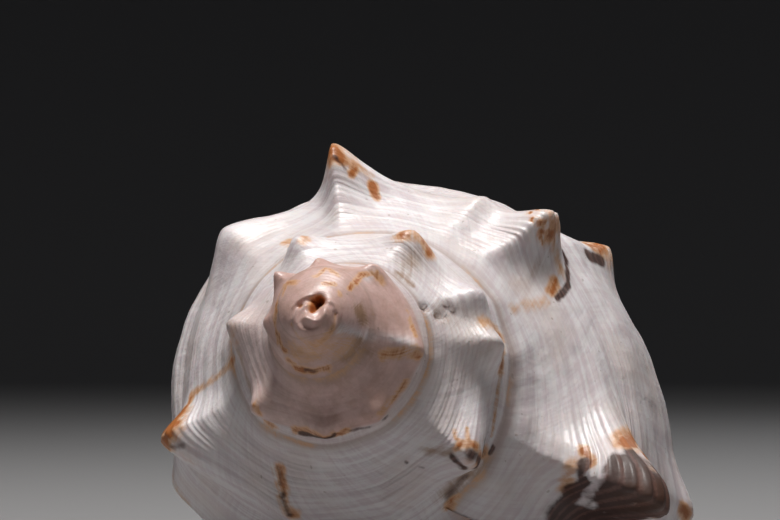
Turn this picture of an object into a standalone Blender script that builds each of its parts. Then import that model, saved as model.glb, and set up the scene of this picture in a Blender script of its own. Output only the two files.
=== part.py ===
"""A spined conch shell, grown as one piece, lying on its mouth.

The outside is one band that winds round the shell's axis, from the seam it shares with the whorl before it (v = 0),
over the shoulder, to the seam that the whorl after it covers (v = 1). The last whorl goes on over its base and neck
to the end of the siphonal canal (v = 3). "turn" is the growth angle in degrees: 0 at the lip, negative before it.
"""

import math

import bmesh
import bpy
from mathutils import Vector

# Driving dimensions, in metres and degrees.
SHOULDER_RADIUS = 0.0406  # from the axis to a shoulder knob's tip, at the lip
WHORL_GROWTH = 1.784  # how many times larger each whorl is than the one before
WHORLS = 4.7  # up to the worn tip of the spire
SEAM_LEAD = 30  # how far growth lines sweep forward up to the seam: a whole number of mesh steps
MOUTH_DEPTH = 250  # how far the mouth's hollow runs back round the axis
CANAL_DEPTH = 75  # the same, for the slit of the siphonal canal
SEAM_WALL = 0.1  # how far below the seam the hollow starts, in v
LIP_WALL = 0.0023
CANAL_WALL = 0.0013
APEX_PIT_DEPTH = 0.0012
CANAL_BEND = 0.002  # how far the canal's end is bent to the back of the shell

# The attitude in which the shell rests on the floor.
AXIS_RISE = 19.3  # the spire's axis above the horizontal
ROLL = -26.0  # about that axis
POLE = (-0.00704, -0.05824, 0.04215)  # where the pole stands above the floor

LEAD_END = 0.75  # v where growth lines stop sweeping forward, just past the shoulder
SEAM_BLEND = 0.25  # up to this v a whorl follows the knobs of the whorl that it lies on
CORNER_BLEND = 0.3  # up to this v the lip's wall closes in on the pillar
NECK_START, NECK_SPAN = 2.2, 0.7  # v from which the neck's walls stand straight out from the axis
CANAL_START, CANAL_SPAN = 1.9, 0.7  # v over which the mouth narrows to the canal
BEND_START, BEND_SPAN = 2.0, 1.1  # depths, in shoulder radii, over which the canal bends
APEX_PIT_WIDTH = 0.55  # of the width of the spire's open tip
SPIRE_DEPTH = 0.3  # in shoulder radii: nothing else is open above this

# The whorl's outline at the lip: (v, distance from the axis, distance below the spire's pole), in shoulder radii.
# The seam at v = 1 is the seam at v = 0 grown by one whorl.
OUTLINE = [
    (0.00, 0.575, 0.665),
    (0.15, 0.655, 0.765),
    (0.40, 0.780, 0.885),
    (0.60, 0.875, 0.975),
    (0.75, 0.940, 1.085),
    (1.00, 0.575 * WHORL_GROWTH, 0.665 * WHORL_GROWTH),
    (1.20, 1.095, 1.460),
    (1.40, 1.105, 1.600),
    (1.60, 1.050, 1.780),
    (1.80, 0.920, 1.960),
    (2.00, 0.720, 2.120),
    (2.20, 0.505, 2.270),
    (2.40, 0.350, 2.430),
    (2.60, 0.250, 2.600),
    (2.80, 0.195, 2.780),
    (3.00, 0.170, 2.950),
]

# Knobs: (turn, height on the shoulder in shoulder radii, reach back round the whorl, reach forward, height of the
# second row on the base below), reaches in degrees.
KNOBS = [
    (-14, 0.16, 15, 8, 0.00),
    (-8.5, 0.30, 8, 3.5, 0.00),
    (-18, 0.00, 7, 7, 0.10),
    (-76, 0.20, 9, 6, 0.00),
    (-74, 0.00, 6, 6, 0.12),
    (-93, 0.07, 7, 6, 0.02),
    (-131, 0.11, 10, 18, 0.04),
    (-132, 0.175, 3.5, 8, 0.00),
    (-167, 0.17, 12, 14, 0.03),
    (-235, 0.23, 15, 8, 0.08),
    (-281, 0.07, 12, 8, 0.02),
    (-318, 0.05, 10, 10, 0.02),
    (-352, 0.23, 14, 8, 0.03),
    (-396, 0.17, 9, 9, 0.03),
    (-417, 0.15, 9, 9, 0.03),
    (-456, 0.17, 11, 13, 0.03),
    (-509, 0.17, 9, 14, 0.00),
    (-563, 0.19, 13, 10, 0.00),
    (-614, 0.20, 14, 9, 0.00),
    (-657, 0.16, 12, 10, 0.00),
    (-690, 0.14, 10, 10, 0.00),
    (-741, 0.15, 13, 9, 0.00),
    (-811, 0.13, 10, 12, 0.00),
    (-854, 0.10, 10, 10, 0.00),
    (-891, 0.17, 12, 10, 0.00),
    (-940, 0.08, 12, 10, 0.00),
    (-985, 0.06, 12, 10, 0.00),
]
KNOB_LINE = 0.6  # v at which a knob's turn is given: its ridge runs straight out from the axis

# How strongly the knobs stand out along the outline: (v, share of the shoulder's height, share of the second row's).
RIDGE = [
    (0.00, 0.00, 0.00),
    (0.20, 0.16, 0.00),
    (0.45, 0.60, 0.00),
    (0.60, 1.00, 0.00),
    (0.75, 0.60, 0.00),
    (0.90, 0.24, 0.02),
    (1.05, 0.12, 0.20),
    (1.20, 0.07, 0.65),
    (1.32, 0.05, 1.00),
    (1.48, 0.04, 0.45),
    (1.65, 0.03, 0.08),
    (2.00, 0.02, 0.00),
    (3.00, 0.00, 0.00),
]

# The spire's tip leans: (depth below the pole in shoulder radii, shift sideways and up in metres).
TIP_LEAN = [
    (0.00, -0.0013, -0.0009, 0.0006),
    (0.07, -0.0013, -0.0009, 0.0006),
    (0.12, -0.0019, -0.0001, 0.0010),
    (0.17, -0.0023, 0.0008, 0.0012),
    (0.21, -0.0017, 0.0006, 0.0009),
    (0.25, -0.0004, 0.0001, 0.0002),
    (0.29, 0.0000, 0.0000, 0.0000),
    (0.40, 0.0000, 0.0000, 0.0000),
]
WORN_FROM, WORN_FADE = 1000, 150  # turns before the lip at which the whorls become a smooth dome

# Mesh steps.
TURN_STEPS = 60
BAND_ROWS = 10
BASE_ROWS = 16
MOUTH_COLUMNS = 16
LIP_SHARE = 0.1  # of the mouth's columns, used to round the lip
WELD = 1e-6


def ease(x):
    """0 before 0, 1 after 1, and a smooth rise between."""
    x = min(1.0, max(0.0, x))
    return x * x * (3 - 2 * x)


def between(points, x):
    """The smooth curve through rows of (x, values...), as Catmull and Rom draw it."""
    last = len(points) - 2
    i = min(last, max(0, next((k for k in range(last + 1) if points[k + 1][0] >= x), last)))
    before, start, end, after = (points[max(0, min(last + 1, k))] for k in (i - 1, i, i + 1, i + 2))
    width = end[0] - start[0]
    s = (x - start[0]) / width
    values = []
    for a, b, c, d in zip(before[1:], start[1:], end[1:], after[1:]):
        slope_b = (c - a) / (end[0] - before[0]) * width
        slope_c = (d - b) / (after[0] - start[0]) * width
        values.append(
            b * (1 + 2 * s) * (1 - s) ** 2 + slope_b * s * (1 - s) ** 2
            + c * s * s * (3 - 2 * s) - slope_c * s * s * (1 - s)
        )
    return values


def growth(turn):
    return WHORL_GROWTH ** (turn / 360)


def lead(v):
    return SEAM_LEAD * max(0.0, 1 - v / LEAD_END)


def outline_point(turn, v):
    """(distance from the axis, depth below the pole). Every age of the base ends at the canal's one tip."""
    radius, depth = between(OUTLINE, v)
    worn = ease((-turn - WORN_FROM) / WORN_FADE)
    if worn and v < 1:
        straight = 1 + v * (WHORL_GROWTH - 1)
        radius += worn * (OUTLINE[0][1] * straight - radius)
        depth += worn * (OUTLINE[0][2] * straight - depth)
    scale = growth(turn)
    return radius * scale, depth * (scale + (1 - scale) * ease((v - 1) / 2))


def outline_normal(v):
    """The outline's outward normal at the lip, turning straight out from the axis towards the canal's end."""
    step = 0.02
    r0, d0 = between(OUTLINE, max(0.0, v - step))
    r1, d1 = between(OUTLINE, min(3.0, v + step))
    normal = Vector((d1 - d0, r0 - r1)).normalized()
    return normal.lerp(Vector((1, 0)), ease((v - NECK_START) / NECK_SPAN)).normalized()


def knob_height(turn, v):
    """How far the knobs lift the surface there, in metres."""
    turn += lead(v) - lead(KNOB_LINE)
    shoulder, base = between(RIDGE, v)
    height = 0.0
    for centre, rise, back, forward, below in KNOBS:
        away = turn - centre
        reach = back if away < 0 else forward
        if abs(away) < 4 * reach:
            height += (rise * shoulder + below * base) * math.exp(-((abs(away) / reach) ** 1.5))
    return height * growth(turn) * SHOULDER_RADIUS


def in_space(turn, radius, depth):
    """Radius and depth, in metres, as a point in the shell's own frame: axis +Z, the pole at the origin."""
    angle = -math.radians(turn)
    bend = CANAL_BEND * ease((depth / SHOULDER_RADIUS - BEND_START) / BEND_SPAN)
    lean = between(TIP_LEAN, min(depth / SHOULDER_RADIUS, TIP_LEAN[-1][0]))
    return Vector((radius * math.cos(angle), radius * math.sin(angle) + bend, -depth)) + Vector(lean)


def surface(turn, v, lift=0.0, knobs=1.0):
    """A point of the outside, lifted off it by lift metres."""
    angle = turn + lead(v)
    radius, depth = (SHOULDER_RADIUS * x for x in outline_point(angle, v))
    out = outline_normal(v) * (lift + knobs * knob_height(turn, v))
    if v < SEAM_BLEND:
        under_seam = knob_height(turn + SEAM_LEAD - 360, 1.0)
        out += outline_normal(1.0) * (1 - ease(v / SEAM_BLEND)) * knobs * under_seam
    return in_space(angle, radius + out.x, depth + out.y)


def mouth_run(v):
    """How far back the hollow runs at this part of the outline, in degrees."""
    return MOUTH_DEPTH + (CANAL_DEPTH - MOUTH_DEPTH) * ease((v - CANAL_START) / CANAL_SPAN)


def pillar(u, v):
    """The inner side of the mouth: the wall of the whorl before it, then the pillar. u runs from the lip inwards."""
    inward = min(1.0, u / LIP_SHARE)
    turn = SEAM_LEAD - 360 - u * mouth_run(v)
    return surface(turn, v + SEAM_WALL * inward * (3 - v) / 2, knobs=1 - inward)


def lip_wall(u, v):
    """The outer side of the mouth: round the lip's edge, then back along the inside of the last whorl."""
    rounding = min(1.0, u / LIP_SHARE)
    inside = max(0.0, (u - LIP_SHARE) / (1 - LIP_SHARE))
    turn = 2.0 * math.sin(math.pi * rounding) - inside * mouth_run(v)
    wall = LIP_WALL + (CANAL_WALL - LIP_WALL) * ease((v - CANAL_START) / CANAL_SPAN)
    point = surface(turn, v, lift=-wall * ease(rounding), knobs=1 - rounding)
    if v < CORNER_BLEND:
        corner = pillar(u, 1.0)
        start = surface(turn, 0.0, lift=-wall * ease(rounding), knobs=1 - rounding)
        point += (1 - ease(v / CORNER_BLEND)) * (corner - start)
    return point


def back_wall(x, v):
    """The far end of the hollow, from its outer wall across to the pillar."""
    return lip_wall(1, v).lerp(pillar(1, v), x)


def add_sheet(bm, columns, rows, x_range, y_range, place):
    """A flat grid, each point of which place(x, y) sets on the shell."""
    sheet = bmesh.ops.create_grid(bm, x_segments=columns, y_segments=rows, size=0.5)["verts"]
    for vert in sheet:
        x = x_range[0] + (vert.co.x + 0.5) * (x_range[1] - x_range[0])
        y = y_range[0] + (vert.co.y + 0.5) * (y_range[1] - y_range[0])
        vert.co = place(x, y)


def close_apex(bm):
    """The spire's tip is worn open: its rim turns down into a small pit."""
    rim = [edge for edge in bm.edges if edge.is_boundary and edge.verts[0].co.z > -SPIRE_DEPTH * SHOULDER_RADIUS]
    lowered = bmesh.ops.extrude_edge_only(bm, edges=rim)["geom"]
    ring = [item for item in lowered if isinstance(item, bmesh.types.BMVert)]
    centre = sum((vert.co for vert in ring), Vector()) / len(ring)
    for vert in ring:
        vert.co = centre + (vert.co - centre) * APEX_PIT_WIDTH - Vector((0, 0, APEX_PIT_DEPTH))
    floor = [edge for edge in bm.edges if edge.is_boundary and edge.verts[0] in ring]
    bmesh.ops.holes_fill(bm, edges=floor, sides=0)


def close_openings(bm):
    """The flat end of the canal, and the corner left at the far end of the mouth's hollow."""
    open_edges = [edge for edge in bm.edges if edge.is_boundary]
    tip_depth = -OUTLINE[-1][2] * SHOULDER_RADIUS
    tip = [edge for edge in open_edges if all(abs(vert.co.z - tip_depth) < 1e-4 for vert in edge.verts)]
    bmesh.ops.triangle_fill(bm, edges=tip, use_beauty=True)
    corner = [edge for edge in bm.edges if edge.is_boundary]
    bmesh.ops.triangle_fill(bm, edges=corner, use_beauty=True)


def shell_mesh():
    bm = bmesh.new()
    first = -round(WHORLS * TURN_STEPS)
    step = 360 / TURN_STEPS
    add_sheet(bm, -first, BAND_ROWS, (first * step, 0), (0, 1), surface)
    exposed = TURN_STEPS - round(SEAM_LEAD / step)
    add_sheet(bm, exposed, BASE_ROWS, (SEAM_LEAD - 360, 0), (1, 3), surface)
    add_sheet(bm, MOUTH_COLUMNS, BASE_ROWS, (0, 1), (1, 3), pillar)
    add_sheet(bm, MOUTH_COLUMNS, BAND_ROWS, (0, 1), (0, 1), lip_wall)
    add_sheet(bm, MOUTH_COLUMNS, BASE_ROWS, (0, 1), (1, 3), lip_wall)
    add_sheet(bm, 1, BASE_ROWS, (0, 1), (1, 3), back_wall)
    bmesh.ops.remove_doubles(bm, verts=bm.verts, dist=WELD)
    close_apex(bm)
    close_openings(bm)
    bmesh.ops.recalc_face_normals(bm, faces=bm.faces)
    mesh = bpy.data.meshes.new("shell")
    bm.to_mesh(mesh)
    bm.free()
    mesh.shade_smooth()
    return mesh


def chalky_shell():
    material = bpy.data.materials.new("chalky_shell")
    material.use_nodes = True
    finish = material.node_tree.nodes["Principled BSDF"]
    finish.inputs["Base Color"].default_value = (0.80, 0.74, 0.70, 1)
    finish.inputs["Roughness"].default_value = 0.45
    finish.inputs["Metallic"].default_value = 0
    return material


def main():
    for obj in list(bpy.data.objects):
        bpy.data.objects.remove(obj)
    shell = bpy.data.objects.new("shell", shell_mesh())
    shell.data.materials.append(chalky_shell())
    shell.rotation_mode = "ZYX"
    shell.rotation_euler = (math.radians(90 - AXIS_RISE), 0, math.radians(ROLL))
    shell.location = POLE
    bpy.context.scene.collection.objects.link(shell)


main()
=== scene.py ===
"""A spined conch shell lying on its mouth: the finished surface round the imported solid.

The outside is one band that winds round the shell's axis. "turn" is the growth angle in degrees, 0 at the lip and
negative before it. "v" runs along the whorl's outline: 0 at the seam with the whorl before, 1 at the seam that the
next whorl covers, and on over the base and neck to 3 at the canal's tip.
"""

import math

import bmesh
import bpy
import numpy as np
from mathutils import Matrix, Vector, noise


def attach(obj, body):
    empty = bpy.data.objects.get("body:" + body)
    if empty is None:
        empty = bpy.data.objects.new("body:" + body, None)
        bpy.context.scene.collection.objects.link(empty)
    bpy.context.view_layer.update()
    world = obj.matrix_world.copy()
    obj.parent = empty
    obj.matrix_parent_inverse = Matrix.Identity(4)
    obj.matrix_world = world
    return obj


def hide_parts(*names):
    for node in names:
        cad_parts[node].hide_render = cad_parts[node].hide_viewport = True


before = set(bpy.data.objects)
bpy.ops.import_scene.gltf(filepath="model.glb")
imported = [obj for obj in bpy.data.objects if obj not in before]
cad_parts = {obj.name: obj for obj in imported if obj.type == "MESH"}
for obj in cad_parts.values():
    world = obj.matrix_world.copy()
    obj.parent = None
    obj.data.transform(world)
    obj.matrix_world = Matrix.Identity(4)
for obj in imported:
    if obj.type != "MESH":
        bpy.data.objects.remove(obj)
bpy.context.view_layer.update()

MM = 0.001

# The grown form, in metres and degrees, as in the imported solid.
SHOULDER_RADIUS = 0.0406
WHORL_GROWTH = 1.784
WHORLS = 4.7
SEAM_LEAD = 30
MOUTH_DEPTH = 250
CANAL_DEPTH = 75
SEAM_WALL = 0.1
LIP_WALL = 0.0023
CANAL_WALL = 0.0013
CANAL_BEND = 0.002
LIP_ROLL = 2.0
LEAD_END = 0.75
AXIS_RISE = 19.3
ROLL = -26.0
POLE = Vector((-0.00704, -0.05824, 0.04215))

# Where one part of the form blends into the next: v and a span of v, and for the bend a depth in shoulder radii.
SEAM_BLEND, UNDER_BLEND, CORNER_BLEND = 0.1, 0.25, 0.3
NECK_START, NECK_SPAN = 2.2, 0.7
CANAL_START, CANAL_SPAN = 1.9, 0.7
BEND_START, BEND_SPAN = 2.0, 1.1

# (v, distance from the axis, distance below the pole), in shoulder radii. The canal's end tapers a little more than
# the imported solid's.
OUTLINE = [
    (0.00, 0.575, 0.665),
    (0.15, 0.655, 0.765),
    (0.40, 0.780, 0.885),
    (0.60, 0.875, 0.975),
    (0.75, 0.940, 1.085),
    (1.00, 0.575 * WHORL_GROWTH, 0.665 * WHORL_GROWTH),
    (1.20, 1.095, 1.460),
    (1.40, 1.105, 1.600),
    (1.60, 1.050, 1.780),
    (1.80, 0.920, 1.960),
    (2.00, 0.720, 2.120),
    (2.20, 0.505, 2.270),
    (2.40, 0.350, 2.430),
    (2.60, 0.250, 2.600),
    (2.80, 0.195, 2.780),
    (3.00, 0.142, 2.950),
]

# Knobs: turn, height on the shoulder in shoulder radii, reach back, reach forward, height of the second row on the
# base below, brown on the tip, ribbing. KNOB_LINE is the v where their turn is measured.
KNOBS = [
    (-14, 0.16, 15, 8, 0.00, 0.2, 0.8),
    (-8.5, 0.30, 8, 3.5, 0.00, 1.0, 1.0),
    (-18, 0.00, 7, 7, 0.10, 0.0, 0.3),
    (-76, 0.20, 9, 6, 0.00, 0.4, 0.45),
    (-74, 0.00, 6, 6, 0.12, 0.8, 0.6),
    (-93, 0.07, 7, 6, 0.02, 0.0, 0.1),
    (-131, 0.11, 10, 18, 0.04, 0.2, 0.2),
    (-132, 0.175, 3.5, 8, 0.00, 0.9, 0.2),
    (-167, 0.17, 12, 14, 0.03, 0.0, 0.1),
    (-235, 0.23, 15, 8, 0.08, 0.7, 0.65),
    (-281, 0.07, 12, 8, 0.02, 0.2, 0.3),
    (-318, 0.05, 10, 10, 0.02, 0.0, 0.0),
    (-352, 0.23, 14, 8, 0.03, 0.6, 0.4),
    (-396, 0.17, 9, 9, 0.03, 0.1, 0.2),
    (-417, 0.15, 9, 9, 0.03, 0.0, 0.1),
    (-456, 0.17, 11, 13, 0.03, 0.3, 0.1),
    (-509, 0.17, 9, 14, 0.00, 0.1, 0.0),
    (-563, 0.19, 13, 10, 0.00, 0.1, 0.0),
    (-614, 0.20, 14, 9, 0.00, 0.1, 0.0),
    (-657, 0.16, 12, 10, 0.00, 0.2, 0.0),
    (-690, 0.14, 10, 10, 0.00, 0.1, 0.0),
    (-741, 0.15, 13, 9, 0.00, 0.2, 0.0),
    (-811, 0.13, 10, 12, 0.00, 0.2, 0.0),
    (-854, 0.10, 10, 10, 0.00, 0.2, 0.0),
    (-891, 0.17, 12, 10, 0.00, 0.2, 0.0),
    (-940, 0.08, 12, 10, 0.00, 0.0, 0.0),
    (-985, 0.06, 12, 10, 0.00, 0.0, 0.0),
]
HEIGHT, SECOND_HEIGHT, BROWN, RIBBING = 1, 4, 5, 6
KNOB_LINE = 0.6
SHOULDER_ROW, BASE_ROW = 0.62, 1.32

# The fine relief: soft ripples in metres, and ribs over the knobs with their spacing in v.
RIPPLE_HEIGHT, RIPPLE_SIZE = 0.00025, 0.009
RIB_HEIGHT, RIB_SPACING = 0.00024, 0.036
CORDS_PER_V, BANDS_PER_V = 25, 8.5
PIT_DEPTH = 0.0010

# How strongly the knobs stand out along the outline: v, share of the shoulder's height, share of the second row's.
RIDGE = [
    (0.00, 0.00, 0.00),
    (0.20, 0.16, 0.00),
    (0.45, 0.60, 0.00),
    (0.60, 1.00, 0.00),
    (0.75, 0.60, 0.00),
    (0.90, 0.24, 0.02),
    (1.05, 0.12, 0.20),
    (1.20, 0.07, 0.65),
    (1.32, 0.05, 1.00),
    (1.48, 0.04, 0.45),
    (1.65, 0.03, 0.08),
    (2.00, 0.02, 0.00),
    (3.00, 0.00, 0.00),
]

# The spire's tip leans: depth below the pole in shoulder radii, shift sideways and up in metres.
TIP_LEAN = [
    (0.00, -0.0013, -0.0009, 0.0006),
    (0.07, -0.0013, -0.0009, 0.0006),
    (0.12, -0.0019, -0.0001, 0.0010),
    (0.17, -0.0023, 0.0008, 0.0012),
    (0.21, -0.0017, 0.0006, 0.0009),
    (0.25, -0.0004, 0.0001, 0.0002),
    (0.29, 0.0000, 0.0000, 0.0000),
    (0.40, 0.0000, 0.0000, 0.0000),
]

# Degrees back from the lip where the outline wears smooth, and where the spire turns pinkish.
WORN_FROM, WORN_FADE = 1000, 150
SPIRE_FROM, SPIRE_FADE = 500, 180

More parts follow.
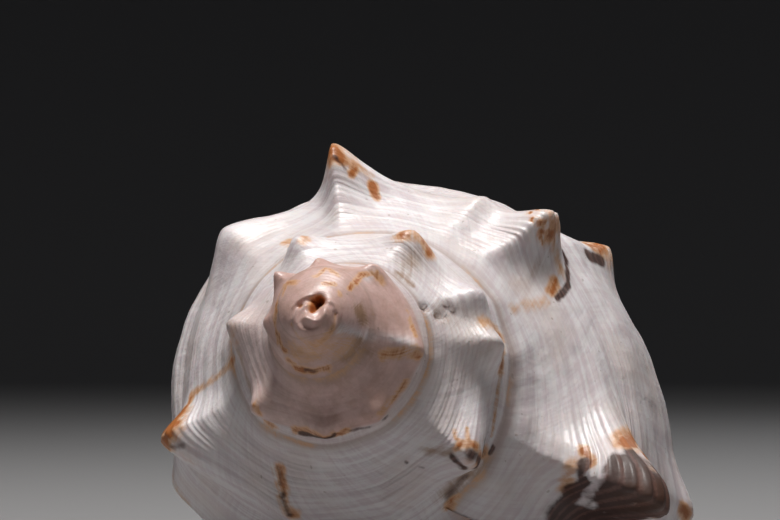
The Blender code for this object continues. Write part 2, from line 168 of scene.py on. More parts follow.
# Marks on the outside: finish, strength, half-width in millimetres, and a path of (turn, v).
# Most marks are the shell's own stains; grime also paints shade under ridges and below the spire's tip.
MARKS = [
    ("rust_and_shade", 1.3, 1.95, [(-235.6, 0.62), (-235.7, 0.56), (-227.8, 0.6)]),
    ("umber_and_shadow", 0.5, 0.88, [(-238.9, 0.6), (-241.8, 0.56)]),
    ("rust_and_shade", 0.55, 0.9, [(-222.8, 0.57), (-232.7, 0.26), (-570.6, 0.96)]),
    ("rust_and_shade", 0.78, 0.9, [(-224.4, 0.54), (-229.1, 0.57)]),
    ("umber_and_shadow", 0.4, 0.62, [(-285.3, 0.27), (-283.9, 0.4)]),
    ("umber_and_shadow", 0.6, 0.75, [(-282.7, 0.49), (-282.8, 0.6)]),
    ("rust_and_shade", 0.78, 1.2, [(-285.7, 0.29), (-282.7, 0.51), (-284.1, 0.6)]),
    ("rust_and_shade", 1.23, 1.5, [(-132.6, 0.57), (-132.6, 0.54)]),
    ("umber_and_shadow", 0.55, 0.5, [(-133.9, 0.54), (-132.5, 0.51)]),
    ("rust_and_shade", 1.04, 0.83, [(-130.9, 0.55), (-128.9, 0.54)]),
    ("rust_and_shade", 1.17, 0.83, [(-130.9, 0.51), (-129, 0.54)]),
    ("rust_and_shade", 1.1, 0.83, [(-125.6, 0.51), (-127.3, 0.43)]),
    ("rust_and_shade", 0.52, 0.9, [(-129.1, 0.56), (-124.2, 0.56)]),
    ("rust_and_shade", 1.17, 0.52, [(-77.5, 0.54), (-70.6, 0.71)]),
    ("rust_and_shade", 1.17, 0.52, [(-75.9, 0.54), (-69, 0.71)]),
    ("umber_and_shadow", 0.5, 0.38, [(-73.9, 0.57), (-67.6, 0.77)]),
    ("umber_and_shadow", 0.8, 0.75, [(-67.4, 0.82), (-63.1, 0.8), (-59.3, 0.68), (-61.2, 0.52)]),
    ("rust_and_shade", 0.91, 1.2, [(-63.9, 0.57), (-64.2, 0.51)]),
    # Painted shadow: a faint brown shadow line beside the knob at -76 degrees.
    ("rust_and_shade", 0.36, 1.6, [(-65.6, 0.4), (-74.2, 0.13)]),
    ("rust_and_shade", 0.45, 2.1, [(-69.4, 0.63), (-63, 0.67)]),
    ("rust_and_shade", 1.17, 1.8, [(-68.6, 1.25), (-69.3, 1.18)]),
    ("umber_and_shadow", 0.9, 1.25, [(-65.7, 1.1), (-65.3, 1.19)]),
    ("umber_and_shadow", 1, 2, [(-17.2, 0.57), (-8.7, 0.58)]),
    ("umber_and_shadow", 1, 2, [(-13.9, 0.63), (-7.8, 0.63)]),
    ("umber_and_shadow", 1, 2, [(-13, 0.98), (-10.1, 1)]),
    ("rust_and_shade", 1.17, 0.9, [(-20.7, 0.57), (-16.2, 0.65), (-14.3, 0.96), (-12.2, 1.04)]),
    ("umber_and_shadow", 0.5, 0.62, [(-17.3, 0.51), (-7.7, 0.57)]),
    ("rust_and_shade", 1.17, 1.05, [(-22.5, 0.38), (-19.3, 0.4)]),
    ("umber_and_shadow", 1, 1, [(-19.4, 0.38), (-13.9, 0.43), (-7.5, 0.49)]),
    ("umber_and_shadow", 1, 1.5, [(-10.6, 0.46), (-2.8, 0.51)]),
    ("umber_and_shadow", 0.6, 0.75, [(-16.2, 0.48), (-12.4, 0.49), (-4.3, 0.6)]),
    ("umber_and_shadow", 0.5, 0.62, [(-11, 0.48), (-3.6, 0.59)]),
    ("rust_and_shade", 0.52, 1.5, [(-19.4, 0.34), (-11.1, 0.43)]),
    ("rust_and_shade", 0.91, 0.9, [(-356, 0.51), (-355.6, 0.62)]),
    ("umber_and_shadow", 0.75, 1.0, [(-353.9, 0.58), (-347.3, 0.74)]),
    ("umber_and_shadow", 0.7, 0.75, [(-351, 0.54), (-347.2, 0.63)]),
    ("rust_and_shade", 0.52, 0.45, [(-362.7, 0.43), (-356, 0.51)]),
    ("rust_and_shade", 0.52, 0.45, [(-363, 0.52), (-356.3, 0.55)]),
    ("grime_and_shade", 0.7, 1.28, [(-351.1, 0.4), (-352.6, 0.51)]),
    ("umber_and_shadow", 0.8, 0.56, [(-354.1, 0.98), (-355.8, 0.99)]),
    ("rust_and_shade", 0.65, 1.2, [(-350.9, 0.74), (-352.3, 0.9)]),
    ("rust_and_shade", 1.04, 0.75, [(-385.6, 0.82), (-382.2, 0.82)]),
    ("rust_and_shade", 0.78, 1.35, [(-395.9, 0.88), (-388.8, 0.76)]),
    ("umber_and_shadow", 0.45, 1.1, [(-341.1, 0.88), (-332.4, 0.93)]),
    ("grime_and_shade", 0.9, 1.8, [(-350, 0.95), (-341.1, 0.88), (-332.4, 0.93)]),
    ("rust_and_shade", 0.52, 0.45, [(-380.8, 0.82), (-372.5, 0.82), (-358.7, 0.91)]),
    ("rust_and_shade", 0.91, 1.2, [(-462, 0.53), (-455.9, 0.57), (-449.1, 0.63), (-444.6, 0.6)]),
    ("pit", 0.8, 0.39, [(-456.1, 0.55), (-455.9, 0.54)]),
    ("grime_and_shade", 0.7, 1.76, [(-453.9, 0.46), (-460.6, 0.09)]),
    ("grime_and_shade", 1.12, 0.96, [(-464.5, 0.09), (-463.9, 0.07)]),
    ("grime_and_shade", 1.26, 0.8, [(-456, 0.1), (-453.9, 0.1)]),
    ("pit", 1, 0.65, [(-437.8, 0.05), (-428.9, 0.13)]),
    ("pit", 1, 0.65, [(-425.8, 0.16), (-425.9, 0.21)]),
    ("pit", 0.7, 0.45, [(-422.7, 0.32), (-421, 0.32)]),
    ("pit", 0.7, 0.45, [(-417, 0.39), (-415.5, 0.41)]),
    ("pit", 0.6, 0.45, [(-427.6, 0.27), (-426, 0.29)]),
    ("grime_and_shade", 0.49, 2.88, [(-429.1, 0.18), (-402.6, 0.59)]),
    ("rust_and_shade", 0.65, 1.35, [(-405.5, 0.57), (-398.9, 0.79)]),
    ("grime_and_shade", 0.42, 1.92, [(-736, 0.74), (-393.8, 0.55)]),
    ("rust_and_shade", 0.65, 1.2, [(-167.3, 0.23), (-507.4, 0.54)]),
    ("rust_and_shade", 0.39, 1.05, [(-565.9, 0.57), (-572.2, 0.6)]),
    ("grime_and_shade", 0.84, 0.8, [(-576, 0.63), (-587.4, 0.68), (-597.6, 0.71)]),
    ("rust_and_shade", 1.04, 0.6, [(-616.2, 0.56), (-617.4, 0.63)]),
    ("rust_and_shade", 0.65, 0.75, [(-612.8, 0.85), (-619.3, 0.9)]),
    ("rust_and_shade", 0.33, 0.52, [(-953.7, 0.92), (-615.6, 0.52)]),
    ("umber_and_shadow", 0.9, 0.56, [(-635.7, 0.79), (-649.2, 0.73), (-659.4, 0.68)]),
    ("rust_and_shade", 0.91, 0.9, [(-632.2, 0.74), (-652.4, 0.66), (-664.5, 0.7)]),
    ("umber_and_shadow", 0.5, 0.5, [(-666, 0.73), (-677.9, 0.81)]),
    ("rust_and_shade", 0.78, 0.75, [(-691, 0.63), (-704.3, 0.66), (-716, 0.68)]),
    ("umber_and_shadow", 0.6, 0.38, [(-685.8, 0.82), (-688.7, 0.84)]),
    ("rust_and_shade", 0.91, 0.9, [(-740.5, 0.19), (-740.7, 0.46), (-735.7, 0.63)]),
    ("grime_and_shade", 0.56, 1.28, [(-1059.3, 0.81), (-737.4, 0.07)]),
    ("rust_and_shade", 0.65, 0.75, [(-742.8, 0.54), (-739.5, 0.59)]),
    ("rust_and_shade", 0.65, 0.6, [(-769.5, 0.6), (-750.3, 0.58)]),
    ("rust_and_shade", 0.91, 0.52, [(-1146, 0.54), (-820.5, 0.21), (-810.8, 0.49)]),
    ("grime_and_shade", 1.12, 1.12, [(-1109.4, 0.6), (-1091, 0.76)]),
    ("rust_and_shade", 0.65, 0.75, [(-809.1, 0.49), (-802.8, 0.48)]),
    ("rust_and_shade", 0.78, 0.45, [(-1209, 0.54), (-1185.7, 0.87), (-1169.5, 0.66)]),
    ("rust_and_shade", 1.04, 0.52, [(-1203.6, 0.19), (-1178.9, 0.32)]),
    ("rust_and_shade", 0.52, 0.6, [(-1167.7, 0.18), (-1161, 0.15)]),
    ("rust_and_shade", 0.65, 0.6, [(-1262.1, 0.88), (-914.8, 0.06), (-1237.7, 0.59)]),
    ("rust_and_shade", 0.78, 0.52, [(-917.8, 0.13), (-947.2, 0.1), (-961.5, 0.19), (-977.6, 0.43), (-986, 0.57)]),
    ("rust_and_shade", 0.91, 0.6, [(-983.7, 0.69), (-992.4, 0.79), (-1004, 0.82), (-1024.3, 0.85)]),
    ("umber_and_shadow", 0.5, 0.44, [(-999, 0.8), (-1010.9, 0.82)]),
    ("grime_and_shade", 0.84, 0.96, [(-1046.2, 0.86), (-1070.8, 0.85)]),
    ("umber_and_shadow", 0.5, 0.31, [(-341.4, 0.36), (-341.1, 0.38)]),
    ("umber_and_shadow", 0.45, 0.31, [(-341, 0.48), (-340.6, 0.51)]),
    ("umber_and_shadow", 0.35, 0.31, [(-389.5, 0.24), (-382.9, 0.33)]),
    ("umber_and_shadow", 0.3, 0.31, [(-345.8, 0.32), (-345.5, 0.34)]),
    ("grime_and_shade", 0.42, 2.4, [(-76.1, 0.29), (-70.9, 0.52)]),
    ("rust_and_shade", 0.2, 2.4, [(-171.1, 0.48), (-164.2, 0.46)]),
    ("rust_and_shade", 0.65, 1.05, [(-3.2, 0), (-0.6, 0.01)]),
    ("rust_and_shade", 1.04, 1.35, [(-11.2, 1.23), (-10.7, 1.27)]),
    ("umber_and_shadow", 1, 2, [(-4.4, 0.65), (-6.5, 0.95)]),
    ("umber_and_shadow", 0.8, 1.12, [(-4, 0.63), (-4, 0.65)]),
    # Painted shadow: the black underside below the last frond.
    ("umber_and_shadow", 1.0, 2.4, [(-3.0, 0.52), (-3.0, 0.80)]),
    ("rust_and_shade", 1.04, 2.2, [(-20.0, 0.57), (-17.0, 0.75)]),
    ("pale", 1.0, 0.8, [(-1090.0, 0.18), (-749.0, 0.45), (-743.0, 0.52)]),
    ("pale", 0.9, 0.6, [(-815.0, 0.25), (-811.0, 0.50)]),
    ("pale", 0.8, 1.0, [(-405.0, 0.25), (-399.0, 0.50)]),
    ("pale", 0.7, 1.2, [(-362.0, 0.35), (-357.0, 0.48)]),
    ("pale", 0.7, 2.2, [(-26.0, 0.45), (-25.0, 0.56)]),
    ("umber_and_shadow", 1.1, 1.5, [(-17.0, 0.51), (-12.0, 0.52), (-8.0, 0.55)]),
    ("umber_and_shadow", 1.1, 1.5, [(-16.0, 0.54), (-12.0, 0.55), (-7.0, 0.58)]),
    ("umber_and_shadow", 1.1, 1.5, [(-15.0, 0.57), (-11.0, 0.59), (-7.0, 0.61)]),
    ("umber_and_shadow", 1.1, 1.5, [(-12.5, 0.62), (-9.0, 0.65), (-6.0, 0.67)]),
    ("umber_and_shadow", 1.5, 2.2, [(-16.0, 0.52), (-13.2, 0.504), (-9.0, 0.545)]),
    ("umber_and_shadow", 1.5, 2.4, [(-14.0, 0.54), (-13.7, 0.57), (-11.0, 0.575)]),
    ("umber_and_shadow", 1.5, 2.2, [(-12.0, 0.60), (-8.8, 0.60), (-6.5, 0.62)]),
    # Painted shadow under the last frond, filling the gap at its edge.
    ("umber_and_shadow", 1.4, 2.2, [(-7.6, 0.56), (-5.6, 0.60), (-4.6, 0.64)]),
    ("umber_and_shadow", 1.0, 0.9, [(-350.5, 0.67), (-349.0, 0.69)]),
    ("umber_and_shadow", 1.2, 1.3, [(-352.5, 0.76), (-350.5, 0.77), (-348.5, 0.78)]),
    ("rust_and_shade", 1.1, 1.3, [(-352.0, 0.66), (-350.0, 0.72), (-349.0, 0.76)]),
    ("umber_and_shadow", 0.8, 0.8, [(-657.0, 0.70), (-650.0, 0.72)]),
    ("rust_and_shade", 1.1, 2.2, [(-133.0, 0.60), (-133.5, 0.55)]),
    ("rust_and_shade", 1.1, 2.4, [(-71.0, 1.34), (-68.5, 1.22)]),
    ("rust_and_shade", 1.2, 0.35, [(-80.5, 0.57), (-74.0, 0.58)]),
    ("rust_and_shade", 1.2, 0.35, [(-79.0, 0.61), (-72.5, 0.62)]),
    ("rust_and_shade", 1.2, 0.35, [(-80.0, 0.53), (-74.0, 0.54)]),
    ("rust_and_shade", 0.9, 1.4, [(-73.0, 0.58), (-71.5, 0.62)]),
    ("rust_and_shade", 0.5, 2.4, [(-1010.0, 0.42), (-1060.0, 0.60)]),
]

# The worn tip, in millimetres across the axis from the tip's middle: depth of the cut (negative stands up),
# half-width, path.
TIP = (-0.89, -1.77)
TIP_CUTS = [
    (1.50, 0.95, [(-0.75, 2.70), (-0.50, 2.30)]),
    (1.20, 0.42, [(-0.86, 3.12), (-0.46, 1.06)]),
    (0.55, 0.45, [(-2.52, 1.02), (-2.40, 1.00)]),
    (-0.60, 0.55, [(0.75, 3.10), (1.58, 1.41), (1.11, -0.26), (-0.35, -0.49)]),
    (0.40, 0.28, [(2.16, 2.34), (2.86, 0.59), (2.66, -1.27), (1.41, -2.69), (-0.78, -2.79), (-2.60, -1.59)]),
]

# The coat's colours.
CHALK, CHALK_SHADE, CHALK_WARM = (0.88, 0.83, 0.84), (0.745, 0.650, 0.675), (0.77, 0.66, 0.63)
# The crease colour is painted shade: the warm darkening laid along the seams between whorls.
CORD_SHADE, SEAM_SHADE, SPECK = (0.62, 0.52, 0.49), (0.34, 0.21, 0.15), (0.30, 0.20, 0.14)
PINK, PINK_DEEP = (0.69, 0.415, 0.36), (0.54, 0.295, 0.225)
# The grime colour is partly dirt and partly painted shade: under ridges, below the spire's tip and in the pits.
GRIME_AND_SHADE = (0.36, 0.21, 0.11)
# Pale rust also paints one shadow line on the body whorl.
RUST_PALE_AND_SHADE, RUST_DEEP = (0.74, 0.43, 0.24), (0.45, 0.15, 0.04)
# The deep umber is the fronds' own dark brown, and also painted shadow under the last frond and in the tip's hole.
UMBER_DEEP_AND_SHADOW, UMBER_RIB = (0.060, 0.024, 0.016), (0.150, 0.070, 0.055)
THROAT, THROAT_DEEP = (0.82, 0.60, 0.46), (0.76, 0.48, 0.33)

# Lamps: name, place, size, power and colour. They face one point inside the shell.
LIT_POINT = Vector((0, 0, 0.03))
LAMPS = [
    ("key", (0.00, -0.09, 0.62), 0.18, 4.0, (1.0, 0.985, 0.96)),
    ("fill", (-0.45, -0.50, 0.30), 0.40, 0.06, (1.0, 0.90, 0.84)),
    ("back", (0.25, 0.50, 0.45), 0.30, 0.35, (0.95, 0.97, 1.0)),
]

# The floor's flat radius, the radius of its upward sweep, the top of its wall, and its paint.
FLOOR_RADIUS, SWEEP, SWEEP_STEPS, WALL_TOP = 1.6, 1.0, 12, 2.2
FLOOR_PAINT = (0.31, 0.305, 0.31)

# The camera: degrees round from -Y and above level, metres from the pole, and its aim right of and above the pole.
CAMERA_AZIMUTH, CAMERA_ELEVATION = 12.2, -0.75
CAMERA_DISTANCE, AIM_RIGHT, AIM_ABOVE = 0.3207, 0.00945, 0.00617
LENS = 109

# Mesh steps, and where the mesh is cut finer: first turn, last turn, first v, last v. A UV of INSIDE marks the mouth.
TURN_STEPS = 168
BAND_ROWS = 30
BASE_ROWS = 54
MOUTH_COLUMNS = 32
CAP_RINGS = 14
LIP_SHARE = 0.1
WELD = 2e-6
INSIDE = 999.0
FINE = [(-400, 0, 0.0, 1.6)]
FINEST = [
    (-30, 0, 0.3, 0.95),
    (-92, -58, 0.3, 0.95),
    (-88, -62, 1.0, 1.55),
    (-145, -116, 0.3, 0.8),
    (-250, -222, 0.3, 0.85),
    (-366, -338, 0.3, 1.0),
]


def ease(x):
    """0 below 0, 1 above 1, and a smooth step between them."""
    x = np.clip(x, 0.0, 1.0)
    return x * x * (3 - 2 * x)


def bell(x, width):
    """1 at x = 0 and towards 0 beyond the width."""
    return np.exp(-((x / width) ** 2))


def between(points, x):
    """The smooth curve through rows of (x, values...), one column for each value."""
    table = np.array(points)
    knots, values = table[:, 0], table[:, 1:]
    i = np.clip(np.searchsorted(knots[1:], x), 0, len(knots) - 2)
    before, after = np.maximum(i - 1, 0), np.minimum(i + 2, len(knots) - 1)
    width = (knots[i + 1] - knots[i])[:, None]
    s = (x - knots[i])[:, None] / width
    slope_start = (values[i + 1] - values[before]) / (knots[i + 1] - knots[before])[:, None] * width
    slope_end = (values[after] - values[i]) / (knots[after] - knots[i])[:, None] * width
    return (
        values[i] * (1 + 2 * s) * (1 - s) ** 2 + slope_start * s * (1 - s) ** 2
        + values[i + 1] * s * s * (3 - 2 * s) - slope_end * s * s * (1 - s)
    )


def growth(turn):
    """The whorl's size there as a share of its size at the lip."""
    return WHORL_GROWTH ** (turn / 360)


def lead(v):
    """How many degrees the outline runs ahead towards the seam."""
    return SEAM_LEAD * np.maximum(0.0, 1 - v / LEAD_END)


def outline_point(turn, v):
    """Distance from the axis and depth below the pole, in shoulder radii."""
    radius, depth = between(OUTLINE, v).T
    worn = ease((-turn - WORN_FROM) / WORN_FADE) * (v < 1)
    straight = 1 + v * (WHORL_GROWTH - 1)
    radius = radius + worn * (OUTLINE[0][1] * straight - radius)
    depth = depth + worn * (OUTLINE[0][2] * straight - depth)
    scale = growth(turn)
    return radius * scale, depth * (scale + (1 - scale) * ease((v - 1) / 2))


def outline_normal(v):
    """The way that knobs and walls stand off the outline, straight out on the neck."""
    step = 0.02
    r0, d0 = between(OUTLINE, np.maximum(0.0, v - step)).T
    r1, d1 = between(OUTLINE, np.minimum(3.0, v + step)).T
    normal = np.stack([d1 - d0, r0 - r1], axis=1)
    normal /= np.linalg.norm(normal, axis=1)[:, None]
    neck = ease((v - NECK_START) / NECK_SPAN)[:, None]
    normal = normal * (1 - neck) + np.array([1.0, 0.0]) * neck
    return normal / np.linalg.norm(normal, axis=1)[:, None]


def in_space(turn, radius, depth):
    """The point at that turn, with the canal's bend and the tip's lean."""
    angle = -np.radians(turn)
    bend = CANAL_BEND * ease((depth / SHOULDER_RADIUS - BEND_START) / BEND_SPAN)
    lean = between(TIP_LEAN, np.clip(depth / SHOULDER_RADIUS, 0, TIP_LEAN[-1][0]))
    place = np.stack([radius * np.cos(angle), radius * np.sin(angle) + bend, -depth], axis=1)
    return place + lean


def bare_place(turn, v):
    """The outline's point in space, without knobs."""
    angle = turn + lead(v)
    radius, depth = outline_point(angle, v)
    return in_space(angle, radius * SHOULDER_RADIUS, depth * SHOULDER_RADIUS)


def cloud(points, size, octaves, seed):
    """Smooth noise of about -1 to 1 in space, with features of the given size."""
    shift = Vector((seed, -seed * 0.7, seed * 1.3))
    return np.array([noise.fractal(Vector(p) / size + shift, 0.6, 2.0, octaves) for p in points])


def knob_profile(turn, v, column):
    """What the knobs there add up to in one column of their table."""
    line = turn + lead(v) - lead(KNOB_LINE)
    total = np.zeros_like(turn)
    for knob in KNOBS:
        centre, _, back, forward = knob[:4]
        away = line - centre
        reach = np.where(away < 0, back, forward)
        total += knob[column] * np.exp(-((np.abs(away) / reach) ** 1.5))
    return total


def relief(turn, v):
    """How far the surface stands out from the bare outline, in metres."""
    scale = growth(turn + lead(v) - lead(KNOB_LINE)) * SHOULDER_RADIUS
    shoulder, base = between(RIDGE, v).T
    height = (knob_profile(turn, v, HEIGHT) * shoulder + knob_profile(turn, v, SECOND_HEIGHT) * base) * scale
    fine_scale = growth(turn) ** 0.5
    height += RIPPLE_HEIGHT * cloud(bare_place(turn, v), RIPPLE_SIZE, 3, 4.0) * fine_scale
    rows = bell(v - SHOULDER_ROW, 0.22) + 0.7 * bell(v - BASE_ROW, 0.16)
    ribs = knob_profile(turn, v, RIBBING) * rows * np.cos(2 * math.pi * v / RIB_SPACING)
    return height + RIB_HEIGHT * ribs * fine_scale


def surface(turn, v, lift=0.0, knobs=1.0):
    """The outside's place in space, with the knobs of the whorl before showing through at the seam."""
    angle = turn + lead(v)
    radius, depth = outline_point(angle, v)
    own = lift + knobs * relief(turn, v) * ease(v / SEAM_BLEND)
    out = outline_normal(v) * own[:, None]
    under = knobs * (1 - ease(v / UNDER_BLEND)) * relief(turn + SEAM_LEAD - 360, np.ones_like(v))
    out += outline_normal(np.ones_like(v)) * under[:, None]
    return in_space(angle, radius * SHOULDER_RADIUS + out[:, 0], depth * SHOULDER_RADIUS + out[:, 1])


def mouth_run(v):
    """How many degrees the hollow runs back from the lip."""
    return MOUTH_DEPTH + (CANAL_DEPTH - MOUTH_DEPTH) * ease((v - CANAL_START) / CANAL_SPAN)


def pillar(u, v):
    """The mouth's inner side, from the whorl before (u = 0) to the hollow's end (u = 1)."""
    inward = np.minimum(1.0, u / LIP_SHARE)
    turn = SEAM_LEAD - 360 - u * mouth_run(v)
    return surface(turn, v + SEAM_WALL * inward * (3 - v) / 2, knobs=1 - inward)


def lip_wall(u, v):
    """The mouth's outer side, from the rounded lip (u = 0) to the hollow's end (u = 1)."""
    rounding = np.minimum(1.0, u / LIP_SHARE)
    inside = np.maximum(0.0, (u - LIP_SHARE) / (1 - LIP_SHARE))
    turn = LIP_ROLL * np.sin(math.pi * rounding) - inside * mouth_run(v)
    wall = LIP_WALL + (CANAL_WALL - LIP_WALL) * ease((v - CANAL_START) / CANAL_SPAN)
    point = surface(turn, v, lift=-wall * ease(rounding), knobs=1 - rounding)
    corner = pillar(u, np.ones_like(v))
    start = surface(turn, np.zeros_like(v), lift=-wall * ease(rounding), knobs=1 - rounding)
    return point + (1 - ease(v / CORNER_BLEND))[:, None] * (corner - start)


def back_wall(x, v):
    """The hollow's end, from the outer side (x = 0) to the pillar (x = 1)."""
    end = np.ones_like(v)
    return lip_wall(end, v) * (1 - x)[:, None] + pillar(end, v) * x[:, None]


def add_sheet(bm, columns, rows, x_range, y_range, place, outside=False):
    """A flat grid, each point of which place(x, y) sets on the shell. The outside's UVs keep its turn and v."""
    uvs = bm.loops.layers.uv.active or bm.loops.layers.uv.new("growth")
    sheet = bmesh.ops.create_grid(bm, x_segments=columns, y_segments=rows, size=0.5)["verts"]
    flat = np.array([vert.co[:2] for vert in sheet]) + 0.5
    x = x_range[0] + np.round(flat[:, 0] * columns) / columns * (x_range[1] - x_range[0])
    y = y_range[0] + np.round(flat[:, 1] * rows) / rows * (y_range[1] - y_range[0])
    points = place(x, y)
    for vert, turn, v, point in zip(sheet, x, y, points):
        vert.co = point
        for loop in vert.link_loops:
            loop[uvs].uv = (turn if outside else INSIDE, v)


def cut_finer(bm, areas):
    """Cut the outside's faces in four where they lie in one of the areas."""
    uvs = bm.loops.layers.uv.active
    edges = set()
    for face in bm.faces:
        turn, v = sum((loop[uvs].uv for loop in face.loops), Vector((0, 0))) / len(face.loops)
        if any(first < turn < last and low < v < high for first, last, low, high in areas):
            edges.update(face.edges)
    bmesh.ops.subdivide_edges(bm, edges=list(edges), cuts=1, use_grid_fill=True)


def set_on_surface(bm):
    """Put every vertex of the outside back on the grown surface."""
    uvs = bm.loops.layers.uv.active
    homes = {}
    for face in bm.faces:
        for loop in face.loops:
            if loop[uvs].uv[0] < INSIDE / 2:
                homes[loop.vert] = loop[uvs].uv.copy()
    turn, v = np.array([tuple(home) for home in homes.values()]).T
    for vert, point in zip(homes, surface(turn, v)):
        vert.co = point


def close_apex(bm):
    """Rings from the first whorl's edge to the spire's tip."""
    uvs = bm.loops.layers.uv.active
    spire_foot = -0.3 * SHOULDER_RADIUS
    ring_edges = [edge for edge in bm.edges if edge.is_boundary and edge.verts[0].co.z > spire_foot]
    start = dict.fromkeys(vert for edge in ring_edges for vert in edge.verts)
    centre = sum((vert.co for vert in start), Vector()) / len(start)
    for ring in range(CAP_RINGS):
        grown = bmesh.ops.extrude_edge_only(bm, edges=ring_edges)["geom"]
        verts = [item for item in grown if isinstance(item, bmesh.types.BMVert)]
        ring_edges = [item for item in grown if isinstance(item, bmesh.types.BMEdge) and item.is_boundary]
        share = (CAP_RINGS - ring - 1) / (CAP_RINGS - ring)
        for vert in verts:
            vert.co = centre + (vert.co - centre) * max(share, 0.01)
        for face in grown:
            if isinstance(face, bmesh.types.BMFace):
                for loop in face.loops:
                    loop[uvs].uv = (-WHORLS * 360, 0.5)
    bmesh.ops.pointmerge(bm, verts=verts, merge_co=centre)


def close_openings(bm):
    """The canal's end, and the small gap left where the lip meets the whorl before."""
    tip_depth = -OUTLINE[-1][2] * SHOULDER_RADIUS
    open_edges = [edge for edge in bm.edges if edge.is_boundary]
    tip = [edge for edge in open_edges if all(abs(vert.co.z - tip_depth) < 1e-4 for vert in edge.verts)]
    bmesh.ops.triangle_fill(bm, edges=tip, use_beauty=True)
    corner = [edge for edge in bm.edges if edge.is_boundary]
    bmesh.ops.triangle_fill(bm, edges=corner, use_beauty=True)


def near_path(points, path, width):
    """1 on the path and towards 0 beyond its half-width."""
    gap = np.full(len(points), np.inf)
    for a, b in zip(path[:-1], path[1:]):
        along = b - a
        share = np.clip((points - a) @ along / max(along @ along, 1e-12), 0, 1)
        gap = np.minimum(gap, np.linalg.norm(points - a - share[:, None] * along, axis=1))
    return bell(gap, width)


def wear_tip(places):
    """The spire's tip as a low dome with the broken first whorl open in it, and how deep each point is cut."""
    across = places[:, :2] - np.array(TIP) * MM
    out = np.linalg.norm(across, axis=1)
    near = (out < 6.0 * MM) & (places[:, 2] > -10.0 * MM)
    dome = (-1.2 - 1.8 * (out / (3.0 * MM)) ** 2 + 0.6 * bell(out - 2.2 * MM, 0.6 * MM)) * MM
    cut = np.zeros(len(places))
    for depth, width, path in TIP_CUTS:
        route = between([(i, *point) for i, point in enumerate(path)], np.linspace(0, len(path) - 1, 6 * len(path)))
        cut += depth * MM * near_path(across, route * MM, width * MM)
    cut *= near
    share = ease((3.8 * MM - out) / (1.2 * MM)) * near
    places[:, 2] = places[:, 2] * (1 - share) + dome * share - cut
    return cut


def outside_growth(mesh):
    """Which vertices are on the outside, and the turn and v of each."""
    count = len(mesh.vertices)
    corner = np.empty(len(mesh.loops), dtype=int)
    mesh.loops.foreach_get("vertex_index", corner)
    uv = np.empty(len(mesh.loops) * 2)
    mesh.uv_layers.active.uv.foreach_get("vector", uv)
    uv = uv.reshape(-1, 2)
    shown = uv[:, 0] < INSIDE / 2
    outside = np.zeros(count, dtype=bool)
    outside[corner[shown]] = True
    turn, v = np.zeros(count), np.full(count, 0.5)
    turn[corner[shown]], v[corner[shown]] = uv[shown].T
    return outside, turn, v


def mark_amounts(places, outside):
    """How much of each finish the marks give every point."""
    amounts = {finish: np.zeros(len(places)) for finish in ("rust_and_shade", "umber_and_shadow", "grime_and_shade", "pit", "pale")}
    shaken = places + (cloud(places, 1.6 * MM, 2, 9.0) * 0.3 * MM)[:, None]
    for finish, strength, width, path in MARKS:
        route = surface(*np.array(path).T)
        mark = strength * near_path(shaken, route, width * MM) * outside
        amounts[finish] = np.maximum(amounts[finish], mark)
    amounts["pit"] *= np.clip(0.55 + 1.3 * cloud(places, 1.1 * MM, 2, 21.0), 0, 1)
    return amounts


def keep_on_mesh(mesh, name, kind, key, values):
    mesh.attributes.new(name, kind, "POINT").data.foreach_set(key, values.astype(np.float32).ravel())


def finish_coat(mesh):
    """Worn tip, pits, and the colour marks and painted shade, kept on the mesh for its material."""
    places, normals = np.empty(len(mesh.vertices) * 3), np.empty(len(mesh.vertices) * 3)
    mesh.vertices.foreach_get("co", places)
    mesh.vertices.foreach_get("normal", normals)
    places = places.reshape(-1, 3)
    outside, turn, v = outside_growth(mesh)
    cut = wear_tip(places)
    marks = mark_amounts(places, outside)
    places -= normals.reshape(-1, 3) * (marks["pit"] * PIT_DEPTH)[:, None]
    mesh.vertices.foreach_set("co", places.ravel())

    full = np.ones(len(places))
    brown = knob_profile(turn, v, BROWN) * outside
    on_tips = 0.45 * brown * bell(v - SHOULDER_ROW, 0.13)
    on_base = 0.6 * brown * bell(v - BASE_ROW, 0.12)
    tip_hole = np.clip(cut / (0.9 * MM), 0, 1)
    rust_and_shade = np.maximum.reduce([marks["rust_and_shade"], on_tips + on_base, tip_hole * 1.1])
    # The deepest part of the worn tip's hole is darkened: painted shade in the hollow.
    umber_and_shadow = marks["umber_and_shadow"] + np.clip(tip_hole - 0.75, 0, 1)
    # Pits are darkened with it: dirt, and painted shade in their hollows.
    grime_and_shade = np.maximum(marks["grime_and_shade"], marks["pit"])
    keep_on_mesh(mesh, "stains", "FLOAT_COLOR", "color", np.stack([rust_and_shade, umber_and_shadow, grime_and_shade, full], axis=1))

    spire = ease((-turn - SPIRE_FROM) / SPIRE_FADE)
    below_shoulder = ease((v - 0.68) / 0.10) * ease((turn + 960) / 80)
    blush = spire * (1 - 0.75 * below_shoulder) * (1 - 0.85 * marks["pale"]) * outside
    # Painted shade: a warm darkening along both edges of each whorl, where the whorls meet.
    seam = bell(v, 0.05) + bell(1 - v, 0.035) * (turn < SEAM_LEAD - 360)
    seam = np.clip(seam * ease((turn + 1150) / 120), 0, 1) * outside
    keep_on_mesh(mesh, "zones", "FLOAT_COLOR", "color", np.stack([blush, ~outside, seam, full], axis=1))

    ribbing = np.clip(0.35 + knob_profile(turn, v, RIBBING), 0, 1) * outside * (1 - spire)
    keep_on_mesh(mesh, "ribbing", "FLOAT", "value", ribbing)


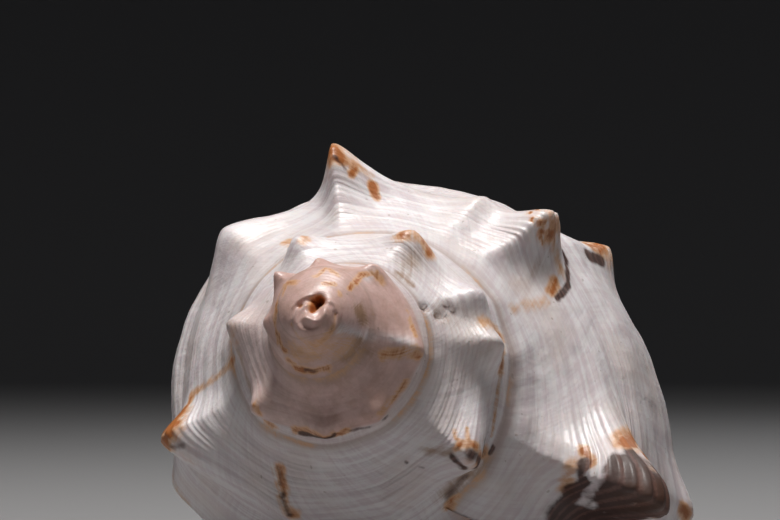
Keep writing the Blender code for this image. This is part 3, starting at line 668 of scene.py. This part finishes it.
def shell_mesh():
    """The whole shell in its own frame, with its pole at the origin and its axis down -Z."""
    bm = bmesh.new()
    first = -round(WHORLS * TURN_STEPS)
    step = 360 / TURN_STEPS
    exposed = TURN_STEPS - round(SEAM_LEAD / step)
    add_sheet(bm, -first, BAND_ROWS, (first * step, 0), (0, 1), surface, outside=True)
    add_sheet(bm, exposed, BASE_ROWS, (SEAM_LEAD - 360, 0), (1, 3), surface, outside=True)
    add_sheet(bm, MOUTH_COLUMNS, BASE_ROWS, (0, 1), (1, 3), pillar)
    add_sheet(bm, MOUTH_COLUMNS, BAND_ROWS, (0, 1), (0, 1), lip_wall)
    add_sheet(bm, MOUTH_COLUMNS, BASE_ROWS, (0, 1), (1, 3), lip_wall)
    add_sheet(bm, 1, BASE_ROWS, (0, 1), (1, 3), back_wall)
    bmesh.ops.remove_doubles(bm, verts=bm.verts, dist=WELD)
    cut_finer(bm, FINE)
    cut_finer(bm, FINEST)
    set_on_surface(bm)
    close_apex(bm)
    close_openings(bm)
    bmesh.ops.recalc_face_normals(bm, faces=bm.faces)
    mesh = bpy.data.meshes.new("conch_shell")
    bm.to_mesh(mesh)
    bm.free()
    finish_coat(mesh)
    mesh.shade_smooth()
    return mesh


def attitude():
    """From the shell's own frame to the way it lies."""
    tilt = Matrix.Rotation(math.radians(90 - AXIS_RISE), 4, "X") @ Matrix.Rotation(math.radians(ROLL), 4, "Z")
    return Matrix.Translation(POLE) @ tilt


class Coat:
    """Short names for the nodes of one material."""

    def __init__(self, name):
        self.material = bpy.data.materials.new(name)
        self.material.use_nodes = True
        self.tree = self.material.node_tree
        self.finish = self.tree.nodes["Principled BSDF"]

    def fill(self, socket, value):
        """Link a socket to the input, or set a number, a vector or a colour on it."""
        if isinstance(value, bpy.types.NodeSocket):
            self.tree.links.new(value, socket)
        elif socket.type == "RGBA" and len(value) == 3:
            socket.default_value = (*value, 1)
        else:
            socket.default_value = value

    def node(self, kind, inputs=None, **settings):
        node = self.tree.nodes.new(kind)
        for key, value in settings.items():
            setattr(node, key, value)
        for key, value in (inputs or {}).items():
            self.fill(node.inputs[key], value)
        return node

    def channels(self, attribute):
        """The red, green and blue of a colour attribute."""
        colour = self.node("ShaderNodeAttribute", attribute_name=attribute).outputs["Color"]
        return self.node("ShaderNodeSeparateColor", {"Color": colour}).outputs[:3]

    def add(self, a, b):
        return self.node("ShaderNodeMath", {0: a, 1: b}, operation="ADD").outputs[0]

    def times(self, a, b):
        return self.node("ShaderNodeMath", {0: a, 1: b}, operation="MULTIPLY").outputs[0]

    def wave(self, phase):
        return self.node("ShaderNodeMath", {0: phase}, operation="SINE").outputs[0]

    def step(self, value, low, high, top=1.0):
        inputs = {"Value": value, "From Min": low, "From Max": high, "To Min": 0.0, "To Max": top}
        return self.node("ShaderNodeMapRange", inputs, interpolation_type="SMOOTHSTEP").outputs["Result"]

    def grain(self, vector, scale, detail=3.0, roughness=0.5):
        inputs = {"Vector": vector, "Scale": scale, "Detail": detail, "Roughness": roughness}
        return self.node("ShaderNodeTexNoise", inputs).outputs["Fac"]

    def grown_grain(self, turn, v, per_degree, per_v, detail, roughness):
        """Noise drawn out along or across the growth of the shell."""
        place = {"X": self.times(turn, per_degree), "Y": self.times(v, per_v)}
        return self.grain(self.node("ShaderNodeCombineXYZ", place).outputs[0], 1.0, detail, roughness)

    def tint(self, share, below, above):
        return self.node("ShaderNodeMix", {0: share, 6: below, 7: above}, data_type="RGBA").outputs[2]

    def bump(self, height, distance, strength, under=None):
        inputs = {"Height": height, "Distance": distance, "Strength": strength}
        if under:
            inputs["Normal"] = under
        return self.node("ShaderNodeBump", inputs).outputs["Normal"]


def chalky_porcelain():
    """Chalky white, spiral bands, pinkish spire, knob stains; painted shade in seams, pits and under the last frond.
    """
    coat = Coat("weathered_shell")
    place = coat.node("ShaderNodeTexCoord").outputs["Object"]
    grown = coat.node("ShaderNodeUVMap", uv_map="growth").outputs["UV"]
    turn, v, _ = coat.node("ShaderNodeSeparateXYZ", {"Vector": grown}).outputs
    rust_and_shade_marks, umber_and_shadow_marks, grime_and_shade_marks = coat.channels("stains")
    blush, inside, seam = coat.channels("zones")
    ribbing = coat.node("ShaderNodeAttribute", attribute_name="ribbing").outputs["Fac"]
    outer = coat.add(1.0, coat.times(inside, -1.0))

    broad = coat.grain(place, 110, 4)
    patch = coat.grain(place, 420, 4, 0.6)
    fine = coat.grain(place, 1500, 3, 0.6)
    lines = coat.grown_grain(turn, v, 0.42, 1.3, 4, 0.65)
    threads = coat.grown_grain(turn, v, 0.03, 26.0, 3, 0.55)
    cord_phase = coat.add(coat.times(v, 2 * math.pi * CORDS_PER_V), coat.times(threads, 5.0))
    cords = coat.times(coat.add(coat.wave(cord_phase), 1.0), 0.5)
    band_phase = coat.add(coat.times(v, 2 * math.pi * BANDS_PER_V), coat.times(threads, 3.0))
    bands = coat.wave(band_phase)
    faint_cords = coat.times(cords, coat.times(ribbing, coat.step(broad, 0.40, 0.66)))

    weave = coat.add(coat.times(lines, 0.4), coat.times(threads, 0.6))
    colour = coat.tint(coat.step(weave, 0.42, 0.60), CHALK, CHALK_SHADE)
    colour = coat.tint(coat.step(broad, 0.42, 0.70, 0.6), colour, CHALK_WARM)
    colour = coat.tint(coat.times(faint_cords, 0.15), colour, CORD_SHADE)
    pink = coat.tint(coat.step(patch, 0.35, 0.65), PINK, PINK_DEEP)
    colour = coat.tint(coat.times(blush, 0.80), colour, pink)
    # Painted shade along the seams between whorls.
    colour = coat.tint(coat.times(seam, 0.55), colour, SEAM_SHADE)

    streaks = coat.add(coat.times(lines, 1.5), threads)
    uneven = coat.add(coat.times(patch, 1.9), coat.add(streaks, -1.30))
    # Grime: dirt, and painted shade under ridges, below the spire's tip and in the pits.
    colour = coat.tint(coat.step(coat.times(grime_and_shade_marks, uneven), 0.10, 1.0, 0.75), colour, GRIME_AND_SHADE)
    rusty_seam = coat.times(coat.times(seam, coat.step(broad, 0.40, 0.62)), 0.45)
    # Rust marks; one of them is a painted shadow line.
    rust_and_shade = coat.times(coat.add(rust_and_shade_marks, rusty_seam), uneven)
    colour = coat.tint(coat.step(rust_and_shade, 0.12, 0.55, 0.9), colour, RUST_PALE_AND_SHADE)
    colour = coat.tint(coat.step(rust_and_shade, 0.40, 0.95), colour, RUST_DEEP)
    # Umber: the fronds' dark brown, and painted shadow under the last frond and deep in the worn tip's hole.
    umber_and_shadow = coat.times(umber_and_shadow_marks, coat.add(coat.times(patch, 1.3), 0.45))
    umber_and_shadow_tone = coat.tint(coat.step(coat.times(cords, fine), 0.10, 0.60), UMBER_DEEP_AND_SHADOW, UMBER_RIB)
    colour = coat.tint(coat.step(umber_and_shadow, 0.20, 0.70, 0.96), colour, umber_and_shadow_tone)
    specks = coat.step(coat.grain(place, 900, 1, 0.4), 0.75, 0.79, 0.4)
    colour = coat.tint(coat.times(specks, outer), colour, SPECK)
    throat = coat.tint(coat.step(broad, 0.35, 0.65), THROAT, THROAT_DEEP)
    colour = coat.tint(inside, colour, throat)
    coat.fill(coat.finish.inputs["Base Color"], colour)

    dull = coat.add(coat.times(patch, 0.24), 0.30)
    dull = coat.add(dull, coat.times(umber_and_shadow_marks, 0.15))
    dull = coat.add(dull, coat.times(inside, -0.20))
    coat.fill(coat.finish.inputs["Roughness"], dull)

    plain = coat.add(outer, coat.times(blush, -0.85))
    normal = coat.bump(coat.times(bands, plain), 0.4 * MM, 0.16)
    normal = coat.bump(faint_cords, 0.3 * MM, 0.26, normal)
    normal = coat.bump(coat.times(lines, plain), 0.5 * MM, 0.13, normal)
    normal = coat.bump(coat.add(coat.times(fine, 0.5), patch), 0.3 * MM, 0.35, normal)
    coat.fill(coat.finish.inputs["Normal"], normal)
    coat.finish.inputs["Subsurface Weight"].default_value = 0.10
    coat.finish.inputs["Subsurface Radius"].default_value = (0.003, 0.0015, 0.001)
    coat.finish.inputs["Subsurface Scale"].default_value = 1.0
    coat.finish.inputs["Coat Weight"].default_value = 0.12
    coat.finish.inputs["Coat Roughness"].default_value = 0.22
    return coat.material


def make_shell():
    mesh = shell_mesh()
    mesh.transform(attitude())
    for vert in mesh.vertices:
        vert.co.z = max(vert.co.z, 0.0)
    piece = bpy.data.objects.new("conch_shell", mesh)
    piece.data.materials.append(chalky_porcelain())
    bpy.context.scene.collection.objects.link(piece)
    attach(piece, "root")
    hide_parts("shell")


def soft_light(name, place, size, power, colour):
    """A square soft lamp that faces the middle of the shell."""
    lamp = bpy.data.lights.new(name, "AREA")
    lamp.energy = power
    lamp.size = size
    lamp.color = colour
    holder = bpy.data.objects.new(name, lamp)
    holder.location = place
    holder.rotation_euler = (LIT_POINT - Vector(place)).to_track_quat("-Z", "Y").to_euler()
    bpy.context.scene.collection.objects.link(holder)


def make_studio():
    bpy.context.scene.view_settings.view_transform = "Standard"
    world = bpy.data.worlds.new("studio")
    world.use_nodes = True
    background = world.node_tree.nodes["Background"]
    background.inputs["Color"].default_value = (0.50, 0.53, 0.60, 1)
    background.inputs["Strength"].default_value = 0.04
    bpy.context.scene.world = world
    for lamp in LAMPS:
        soft_light(*lamp)


def make_floor():
    """A plain round sweep: flat under the shell, curving up to a low wall all round."""
    bm = bmesh.new()
    profile = [(0.0, 0.0), (0.5, 0.0), (FLOOR_RADIUS, 0.0)]
    for stage in range(1, SWEEP_STEPS + 1):
        angle = stage * math.pi / 2 / SWEEP_STEPS
        profile.append((FLOOR_RADIUS + SWEEP * math.sin(angle), SWEEP - SWEEP * math.cos(angle)))
    profile.append((FLOOR_RADIUS + SWEEP, WALL_TOP))
    verts = [bm.verts.new((x, 0, z)) for x, z in profile]
    edges = [bm.edges.new(pair) for pair in zip(verts[:-1], verts[1:])]
    bmesh.ops.spin(
        bm, geom=verts + edges, cent=(0, 0, 0), axis=(0, 0, 1), angle=2 * math.pi, steps=96, use_merge=True)
    bmesh.ops.remove_doubles(bm, verts=bm.verts, dist=1e-5)
    bmesh.ops.recalc_face_normals(bm, faces=bm.faces)
    middle = min(bm.faces, key=lambda face: face.calc_center_median().length)
    if middle.normal.z < 0:
        bmesh.ops.reverse_faces(bm, faces=bm.faces)
    mesh = bpy.data.meshes.new("floor")
    bm.to_mesh(mesh)
    bm.free()
    mesh.shade_smooth()
    floor = bpy.data.objects.new("floor", mesh)
    paint = Coat("floor_plain")
    paint.fill(paint.finish.inputs["Base Color"], FLOOR_PAINT)
    paint.fill(paint.finish.inputs["Roughness"], 0.8)
    mesh.materials.append(paint.material)
    bpy.context.scene.collection.objects.link(floor)


def make_camera():
    """The spire's side, almost level, with the pole left of centre and the shell's base below the frame."""
    azimuth, elevation = math.radians(CAMERA_AZIMUTH), math.radians(CAMERA_ELEVATION)
    away = Vector((
        math.sin(azimuth) * math.cos(elevation),
        -math.cos(azimuth) * math.cos(elevation),
        math.sin(elevation),
    ))
    right = Vector((math.cos(azimuth), math.sin(azimuth), 0))
    above = right.cross(-away)
    data = bpy.data.cameras.new("camera")
    data.lens = LENS
    data.sensor_width = 36
    data.clip_start = 0.01
    camera = bpy.data.objects.new("camera", data)
    camera.location = POLE + away * CAMERA_DISTANCE
    target = POLE + right * AIM_RIGHT + above * AIM_ABOVE
    camera.rotation_euler = (target - camera.location).to_track_quat("-Z", "Y").to_euler()
    bpy.context.scene.collection.objects.link(camera)
    bpy.context.scene.camera = camera


def main():
    make_shell()
    make_floor()
    make_studio()
    make_camera()


main()
